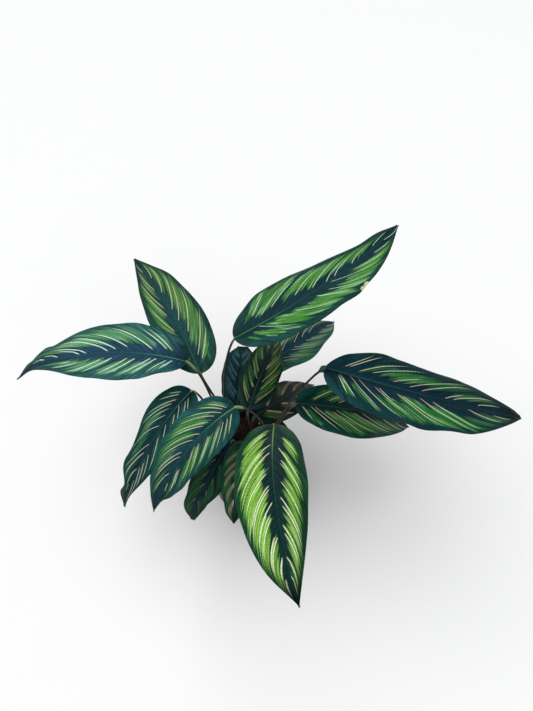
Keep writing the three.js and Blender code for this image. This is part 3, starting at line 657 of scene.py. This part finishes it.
def vein_ends(roots, bend, reach):
    """How far along the blade the side veins from these roots have come at a reach. They leave
    the midrib at a wide angle and curve forward, the last ones nearly straight."""
    bent = np.clip(roots + np.interp(roots, *bend) * np.clip((reach - 0.15) / 0.7, 0, 1.15), 0, 1)
    straight = 0.4 + 0.8 * np.clip(bent - 0.1, 0, 0.5)
    advance = straight * reach + (1 - straight) * reach ** 2
    return bent + 0.8 * (bent + 0.03) ** 0.5 * (1 - bent) ** 0.75 * advance


def vein_roots(share, reach, bend):
    """Where on the midrib, as shares of its length, the veins through points come from."""
    roots, found = np.linspace(0, 1, 800), np.zeros(len(share))
    for value in np.unique(reach):
        same = reach == value
        ends = np.maximum.accumulate(vein_ends(roots, bend, value))
        found[same] = np.interp(share[same], ends + 1e-9 * roots, roots)
    return found


def vein_bend(stripes):
    """How a half blade bends its veins, from the way that its pinstripes run."""
    start, inner, end, outer = np.array(sorted(stripes)).T / 100
    starts, ends = vein_roots(start, inner, STRAIGHT), vein_roots(end, outer, STRAIGHT)
    turns = np.clip((ends - starts) * 0.7 / np.maximum(0.3, outer - inner), -MOST_BEND, MOST_BEND)
    padded = np.concatenate([turns[:1], turns, turns[-1:]])
    turns = 0.15 * padded[:-2] + 0.7 * turns + 0.15 * padded[2:]
    order = np.argsort(starts)
    roots = np.concatenate([[0], starts[order], [1]])
    return roots, np.concatenate([[0.5 * turns[order][0]], turns[order], [0]])


def marked_places(number, share, reach, hand):
    """For each point of a blade: the root of its vein, its place beside the nearest of every
    third pinstripe, three times over, and how far inside a bright band it lies."""
    size, line_half = BLADE_SIZES[number], MARKINGS[number][0]
    length, step = size[0], 1e-3
    width = half_width(size, share)
    widening = (half_width(size, share + step) - half_width(size, share - step)) / (2 * step)
    veins = share.copy()
    beside = [np.tile([FAR_BESIDE, 0.0, -0.2], (len(share), 1)) for _ in PINSTRIPE_SETS]
    bands = np.zeros((len(share), 2))
    for side, stripes, patches in zip((1, -1), PINSTRIPES[number], BANDS[number]):
        half, bend = hand == side, vein_bend(stripes)
        s, r, w = share[half], reach[half], width[half]
        root = vein_roots(s, r, bend)
        veins[half] = root
        by_share = (vein_roots(s + step, r, bend) - vein_roots(s - step, r, bend)) / (2 * step)
        by_reach = (vein_roots(s, r + step, bend) - vein_roots(s, r - step, bend)) / (2 * step)
        slope = np.hypot(by_reach / w, (by_share - by_reach * r * widening[half] / w) / length)
        for index, (start, inner, end, outer) in enumerate(sorted(stripes)):
            stripe_root = vein_roots(np.array([start / 100]), np.array([inner / 100]), bend)[0]
            behind = (100 * r - inner) / (outer - inner)
            away = np.clip((root - stripe_root) / slope, -FAR_BESIDE, FAR_BESIDE)
            tapered = smooth_step(behind, 0, LINE_STARTS) * smooth_step(1 - behind, 0, LINE_TAPERS) ** 0.6
            line = line_half * tapered * (1 - smooth_step(np.abs(away), *LINE_FADES))
            line -= SOFT_EDGE * (tapered <= 0.02)
            turn = beside[index % len(PINSTRIPE_SETS)]
            kept = turn[half]
            nearer = np.abs(away) < np.abs(kept[:, 0])
            kept[nearer] = np.stack([away, behind, line], -1)[nearer]
            turn[half] = kept
        for first, last, inner, outer, strength in patches:
            through = np.clip((100 * root - first) / (last - first), 0, 1)
            belly = 0.45 + 0.55 * (4 * through * (1 - through)) ** 0.4
            middle = 0.45 * inner + 0.55 * outer
            inside = np.minimum(100 * r - middle + (middle - inner) * belly,
                                middle + (outer - middle) * belly - 100 * r) / 100 * w / BAND_SOFT_ACROSS
            beside_it = np.minimum(100 * root - first, last - 100 * root) / 100 * length / BAND_SOFT_ALONG
            inside = 0.5 + 0.5 * np.clip(np.minimum(inside, beside_it), -1, 1)
            kept = bands[half]
            stronger = inside > kept[:, 0]
            kept[stronger, 0], kept[stronger, 1] = inside[stronger], strength / 100
            bands[half] = kept
    return veins, beside, bands


def leaf_skin(number):
    """Upper face of a blade: a thin waxy skin over green tissue. The wax gives a soft, slightly
    blue sheen, the side veins fine ribs, and pale tissue the bright bands and the pinstripes."""
    _, band_colour, middle, margin, pinstripe, midrib_base, pink = MARKINGS[number]
    skin = new_finish("leaf_upper_skin_" + number)
    kept = []
    for name in ("place", "band", "shade") + PINSTRIPE_SETS:
        stored = add_node(skin, "Attribute", {"attribute_name": name}).outputs["Vector"]
        kept.append(add_node(skin, "SeparateXYZ", {}, stored).outputs)
    (vein, across, along), (in_band, band_strength, rib_half), (reach, shade, _), *stripes = kept

    # Brush strokes of colour run along the side veins: broad ones for the teeth of the bands,
    # fine ones for the streaks within them.
    textures = []
    for spacing, run, seed in ((2.6, 11.0, 3.0), (1.9, 16.0, 8.0)):
        over = add_node(skin, "Math", TIMES, vein, 1 / spacing)
        out = add_node(skin, "Math", TIMES, across, 1 / run)
        spot = add_node(skin, "CombineXYZ", {}, over, out, seed + 5 * int(number))
        textures.append(add_node(skin, "TexNoise", {}, Vector=spot, Scale=1.0, Roughness=0.6))
    strokes, streaks = textures

    # Dark ground: blue-green in the middle, greener by the margin.
    outward = add_node(skin, "MapRange", EASED, reach, 0.3, 0.95)
    ground = add_node(skin, "Mix", COLOURS, outward, middle, margin)
    shading = add_node(skin, "MapRange", {}, streaks, 0.36, 0.66, 0.45, 1.7)
    ground = add_node(skin, "Mix", TINTED, 1.0, ground, shading)

    # Bright bands, toothed at both ends where the strokes run out.
    lift = add_node(skin, "Math", {"operation": "MULTIPLY_ADD"}, strokes, 1.6, -0.8)
    strength = add_node(skin, "Math", {"operation": "ADD"}, in_band, lift)
    bright = add_node(skin, "MapRange", EASED, strength, 0.44, 0.60)
    bright = add_node(skin, "Math", TIMES, bright, band_strength)
    ripe = add_node(skin, "MapRange", EASED, strength, 0.45, 0.95, 0.3)
    green = add_node(skin, "Mix", COLOURS, ripe, BAND_EDGE_GREEN, band_colour)
    tone = add_node(skin, "MapRange", {}, streaks, 0.36, 0.6, 0.5, 1.3)
    green = add_node(skin, "Mix", TINTED, 1.0, green, tone)
    paler = add_node(skin, "MapRange", EASED, streaks, 0.54, 0.68, 0.0, 0.5)
    green = add_node(skin, "Mix", COLOURS, paler, green, pinstripe)
    colour = add_node(skin, "Mix", COLOURS, bright, ground, green)

    # Pinstripes, pink where they start and cream beyond.
    for beside, behind, line_half in stripes:
        offset = add_node(skin, "Math", {"operation": "ABSOLUTE"}, beside)
        inside = add_node(skin, "Math", MINUS, line_half, offset)
        line = add_node(skin, "MapRange", EASED, inside, -0.06, 0.22)
        blush = add_node(skin, "MapRange", EASED, behind, 0.04, 0.34, pink, 0.0)
        cream = add_node(skin, "Mix", COLOURS, blush, pinstripe, PINSTRIPE_PINK)
        colour = add_node(skin, "Mix", COLOURS, line, colour, cream)

    # Midrib: paler green at the base, fading to teal towards the tip.
    from_midrib = add_node(skin, "Math", {"operation": "ABSOLUTE"}, across)
    on_midrib = add_node(skin, "Math", MINUS, rib_half, from_midrib)
    rib = add_node(skin, "MapRange", EASED, on_midrib, -0.12, 0.2, 0.0, 0.9)
    length = float(BLADE_SIZES[number][0])
    fade = add_node(skin, "MapRange", EASED, along, 0.05 * length, 0.34 * length)
    rib_colour = add_node(skin, "Mix", COLOURS, fade, midrib_base, MIDRIB_TEAL)
    colour = add_node(skin, "Mix", COLOURS, rib, colour, rib_colour)

    # Painted shade beside the base of the midrib, a dark tip, a fine mottle all over, and where the
    # shade is less than none, a bleached spot.
    cells = add_node(skin, "TexCoord", {}).outputs["Object"]
    mottle = add_node(skin, "TexNoise", {}, Vector=cells, Scale=700.0, Detail=3.0)
    mottled = add_node(skin, "MapRange", {}, mottle, 0.3, 0.7, 0.78, 1.22)
    lit = add_node(skin, "Math", MINUS, 1.0, shade)
    lit = add_node(skin, "Math", TIMES, lit, mottled)
    colour = add_node(skin, "Mix", TINTED, 1.0, colour, lit)
    spot = add_node(skin, "MapRange", EASED, shade, -0.25, -0.6, 0.0, 0.9)
    colour = add_node(skin, "Mix", COLOURS, spot, colour, BLEACHED_YELLOW)

    # Fine side veins, and a quilting of cells of about 1.4 mm between them.
    waves = add_node(skin, "Math", TIMES, vein, 2 * math.pi / VEIN_SPACING)
    fine = add_node(skin, "Math", {"operation": "SINE"}, waves)
    quilted = add_node(skin, "Math", {"operation": "MULTIPLY_ADD"}, mottle, 2.0, fine)
    vein_bump = add_node(skin, "Bump", {}, Distance=0.00008, Height=quilted)
    wax = add_node(skin, "MapRange", {}, mottle, 0.3, 0.7, 0.3, 0.5)
    close_finish(skin, {"Base Color": colour, "Roughness": wax, "IOR": 1.45, "Specular IOR Level": 0.4,
                        "Specular Tint": CUTICLE_BLUE, "Normal": vein_bump})
    return skin


# Lower face and the thin edge: matte plum with rose side veins and a green keel.
lower_skin = new_finish("leaf_lower_skin")
stored = add_node(lower_skin, "Attribute", {"attribute_name": "place"}).outputs["Vector"]
vein, across, _ = add_node(lower_skin, "SeparateXYZ", {}, stored).outputs
waves = add_node(lower_skin, "Math", TIMES, vein, 2 * math.pi / PLEAT_SPACING)
fine = add_node(lower_skin, "Math", {"operation": "SINE"}, waves)
veined = add_node(lower_skin, "MapRange", {}, fine, 0.2, 1.0, 0.0, 0.7)
plum = add_node(lower_skin, "Mix", COLOURS, veined, UNDERSIDE_PLUM, UNDERSIDE_ROSE)
from_keel = add_node(lower_skin, "Math", {"operation": "ABSOLUTE"}, across)
on_keel = add_node(lower_skin, "MapRange", EASED, from_keel, 1.3, 0.7)
under_colour = add_node(lower_skin, "Mix", COLOURS, on_keel, plum, KEEL_GREEN)
under_bump = add_node(lower_skin, "Bump", {}, Strength=0.5, Distance=0.00015, Height=fine)
close_finish(lower_skin, {"Base Color": under_colour, "Roughness": 0.55, "IOR": 1.42, "Normal": under_bump})


def raise_keel(blade, length):
    """Draws the lower face out along the midrib into its keel, which fades towards the tip."""
    mesh = blade.data
    faces = mesh_numbers(mesh.polygons, "material_index", 1, int)
    face_here = np.repeat(faces, mesh_numbers(mesh.polygons, "loop_total", 1, int))
    point_here = mesh_numbers(mesh.loops, "vertex_index", 1, int)
    below = np.zeros(len(mesh.vertices), bool)
    below[point_here[face_here == 1]] = True
    below[point_here[face_here == 0]] = False
    _, across, along = mesh_numbers(mesh.attributes["place"].data, "vector", 3).T
    depth = KEEL_DEPTH * (1 - 0.85 * along / length) * np.exp(-(across / KEEL_HALF_WIDTH) ** 2) * below
    points, normals = (mesh_numbers(mesh.vertices, name, 3) for name in ("co", "normal"))
    mesh.vertices.foreach_set("co", (points + normals * (depth * MM)[:, None]).ravel())
    mesh.update()


for number, (length, *_, lean, waves) in BLADE_SIZES.items():
    stand = LEAF_STANDS[number]
    blade, across, along = grid_sheet("leaf_blade_" + number, BLADE_COLUMNS, int(length / ROW_SPACING))
    even, reach, hand = (along + 1) / 2, np.abs(across) ** 1.2, np.sign(across)
    share = 0.5 * even + 0.25 * (1 - np.cos(np.pi * even))
    marks = np.linspace(0, 1, 600)
    steps = midrib_frame(stand, (marks[1:] + marks[:-1]) / 2)[0] * length / (len(marks) - 1)
    midrib = np.vstack([[0, 0, 0], np.cumsum(steps, axis=0)]) + np.array(stand[0], float)
    centre = on_curve(share, marks, midrib)
    _, side, up = midrib_frame(stand, share)
    half = half_width(BLADE_SIZES[number], share)
    crests = [eased(share, chart) for chart in MARGIN_CRESTS.get(number, (FLAT, FLAT))]
    crest = np.where(hand > 0, *crests) * reach ** 1.5
    sway = eased(share, MIDRIB_SWAYS.get(number, FLAT))
    half_here = half * (1 + hand * lean)
    bend = BLADE_FOLD - BLADE_CURL * reach
    out = (np.sin(BLADE_FOLD) - np.sin(bend)) / BLADE_CURL * half_here + crest
    lift = (np.cos(bend) - np.cos(BLADE_FOLD)) / BLADE_CURL * half_here
    outward = up * np.cos(bend)[:, None] - side * (hand * np.sin(bend))[:, None]
    outward[hand == 0] = up[hand == 0]
    turn = 2 * math.pi * MARGIN_WAVES * share + stand[1] + 2 * hand
    wave = np.where(hand > 0, *waves)
    margin_wave = wave * np.sin(math.pi * np.minimum(1, 1.15 * share)) * reach ** 2 * np.sin(turn)
    vein, beside, bands = marked_places(number, share, reach, hand)
    pleat = PLEAT_HEIGHT * np.sin(2 * math.pi * vein * length / PLEAT_SPACING)
    pleat *= smooth_step(reach, 0.02, 0.3) * (1 - smooth_step(reach, 0.85, 1.0)) * smooth_step(half, 2, 8)
    from_rib = reach * half
    groove = MIDRIB_GROOVE * np.exp(-(from_rib / GROOVE_HALF_WIDTH) ** 2) * np.minimum(1, half / 3)
    points = centre + side * (hand * out + sway)[:, None] + up * lift[:, None]
    points += outward * (margin_wave + pleat - groove)[:, None]
    bend_sheet(blade, points)

    rib_half = np.maximum(0.15, RIB_HALF_WIDTH * (1 - share / RIB_ENDS)) * np.minimum(1, half / 2)
    keep_on_points(blade, "place", vein * length, hand * from_rib, share * length)
    for kind, places in zip(PINSTRIPE_SETS, beside):
        keep_on_points(blade, kind, *places.T)
    keep_on_points(blade, "band", *bands.T, rib_half)
    # Painted shade beside the base of the midrib, then the darker tip, and the bleached spots as shade below
    # none.
    shade = 0 * share
    for side_hand, (run, spread, dark) in zip((1, -1), PAINTED_BASE_SHADE.get(number, ())):
        shade += (hand == side_hand) * dark * np.exp(-(share / run) ** 2 - (from_rib / spread) ** 2)
    shade += TIP_SHADES.get(number, TIP_SHADE) * smooth_step(share, *TIP_DARKENS)
    for spot_share, spot_run in BLEACHED_SPOTS.get(number, ()):
        from_spot = ((share - spot_share) / spot_run) ** 2 + ((reach - 1) / SPOT_DEPTH) ** 2
        shade -= (hand > 0) * np.exp(-from_spot)
    keep_on_points(blade, "shade", reach, shade, 0)

    blade.data.materials.append(leaf_skin(number))
    blade.data.materials.append(lower_skin)
    add_and_apply(blade, "SOLIDIFY", thickness=BLADE_THICKNESS * MM, offset=0, material_offset=1,
                  material_offset_rim=1, use_even_offset=False)
    raise_keel(blade, length)
    blade.data.shade_smooth()
    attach(blade, "root")
    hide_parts("leaf_" + number)


# Room: a pale seamless floor under a wide soft light from above and a weaker one from the front
# right, and the camera above and in front of the plant. Each lamp has its turn, strength and
# angular width, in degrees and watts per square metre.
FLOOR_SIZE, FLOOR_WHITE = 12, "#f4f4f2"
LAMPS = (("overhead_light", (-4, -20, 0), 2.4, 80), ("front_fill", (48, 25, 0), 0.5, 40))
SKY_WHITE, SKY_STRENGTH = "#eef3f8", 0.32
CAMERA_PLACE, CAMERA_PITCH = (0.0205, -0.2730, 0.5558), math.radians(40)
CAMERA_LENS, CAMERA_SENSOR, CAMERA_NEAR = 26.18, 36, 0.01

bpy.ops.object.select_all(action="DESELECT")
bpy.ops.mesh.primitive_plane_add(size=FLOOR_SIZE)
floor = bpy.context.object
floor.name = "floor"
floor_paint = new_finish("pale_floor")
close_finish(floor_paint, {"Base Color": FLOOR_WHITE, "Roughness": 0.8})
floor.data.materials.append(floor_paint)

for name, turn, strength, spread in LAMPS:
    bpy.ops.object.light_add(type="SUN", rotation=[math.radians(angle) for angle in turn])
    lamp = bpy.context.object
    lamp.name = name
    lamp.data.energy = strength
    lamp.data.angle = math.radians(spread)

world = bpy.data.worlds.new("soft_room")
bpy.context.scene.world = world
world.use_nodes = True
sky = world.node_tree.nodes["Background"].inputs
sky["Color"].default_value = linear_colour(SKY_WHITE)
sky["Strength"].default_value = SKY_STRENGTH

bpy.ops.object.camera_add(location=CAMERA_PLACE, rotation=(CAMERA_PITCH, 0, 0))
camera = bpy.context.object
camera.data.lens = CAMERA_LENS
camera.data.sensor_width = CAMERA_SENSOR
camera.data.clip_start = CAMERA_NEAR
bpy.context.scene.camera = camera
bpy.context.scene.view_settings.view_transform = "Standard"
